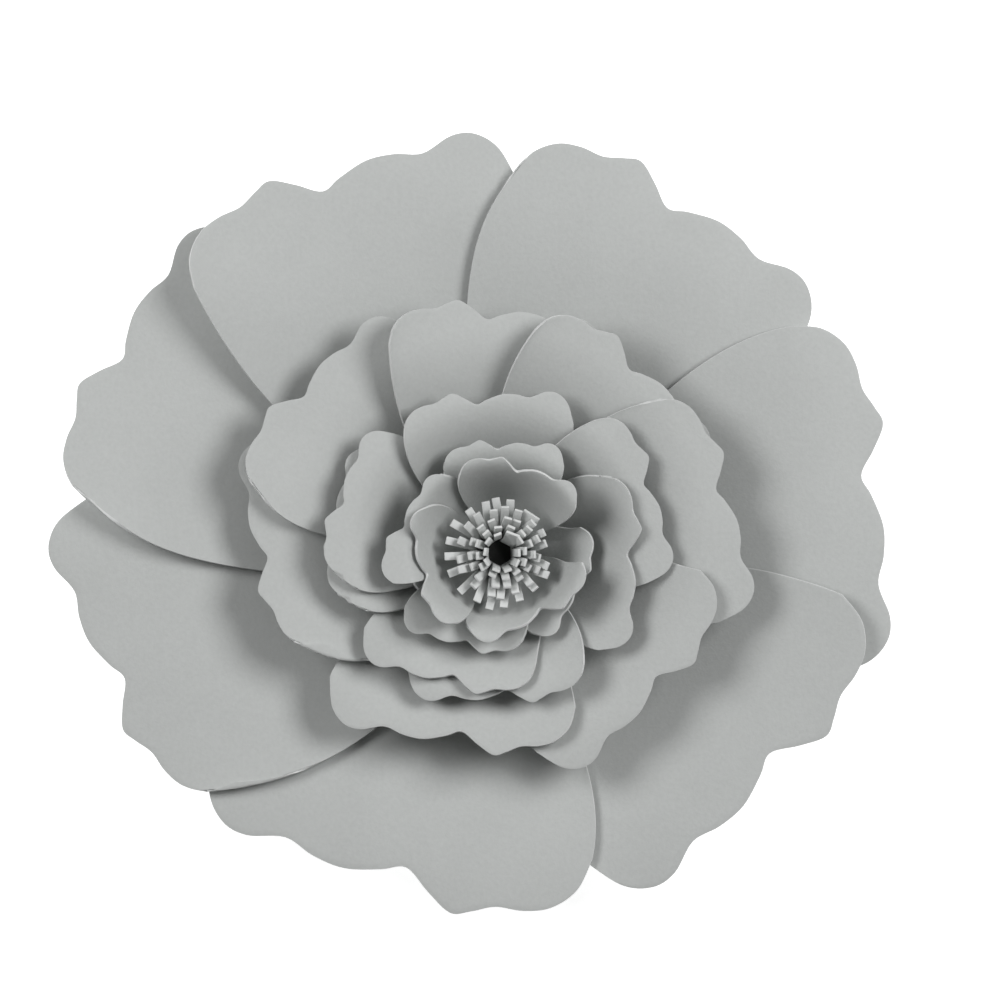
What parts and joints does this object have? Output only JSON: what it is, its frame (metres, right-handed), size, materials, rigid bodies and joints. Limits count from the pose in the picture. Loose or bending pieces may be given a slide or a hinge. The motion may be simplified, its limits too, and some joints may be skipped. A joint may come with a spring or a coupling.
{
  "type": "giant paper flower",
  "caption": "Large layered paper flower with wavy-rimmed overlapping petals round a fringed rolled centre, glued up on a flat backing disc for hanging on a wall.",
  "frame": {"origin": "middle of the backing disc's back face", "axes": "+Z out of the face of the flower, +Y up as it hangs, +X to the right seen from the front"},
  "size_m": [0.2977, 0.2755, 0.06],
  "materials": {
    "petal_sheet": "matt, fine fibre grain",
    "roll_strip": "matt, fine fibre grain",
    "backing_board": "matt"
  },
  "bodies": {
    "root": {"petal_outer_1": "petal_sheet", "petal_outer_2": "petal_sheet", "petal_outer_3": "petal_sheet", "petal_outer_4": "petal_sheet", "petal_outer_5": "petal_sheet", "petal_outer_6": "petal_sheet", "petal_outer_7": "petal_sheet", "petal_second_1": "petal_sheet", "petal_second_2": "petal_sheet", "petal_second_3": "petal_sheet", "petal_second_4": "petal_sheet", "petal_second_5": "petal_sheet", "petal_second_6": "petal_sheet", "petal_second_7": "petal_sheet", "petal_third_1": "petal_sheet", "petal_third_2": "petal_sheet", "petal_third_3": "petal_sheet", "petal_third_4": "petal_sheet", "petal_third_5": "petal_sheet", "petal_third_6": "petal_sheet", "petal_third_7": "petal_sheet", "petal_fourth_1": "petal_sheet", "petal_fourth_2": "petal_sheet", "petal_fourth_3": "petal_sheet", "petal_fourth_4": "petal_sheet", "petal_inner_1": "petal_sheet", "petal_inner_2": "petal_sheet", "petal_inner_3": "petal_sheet", "petal_inner_4": "petal_sheet", "backing_disc": "backing_board", "stamen_roll": "roll_strip"}
  },
  "joints": []
}
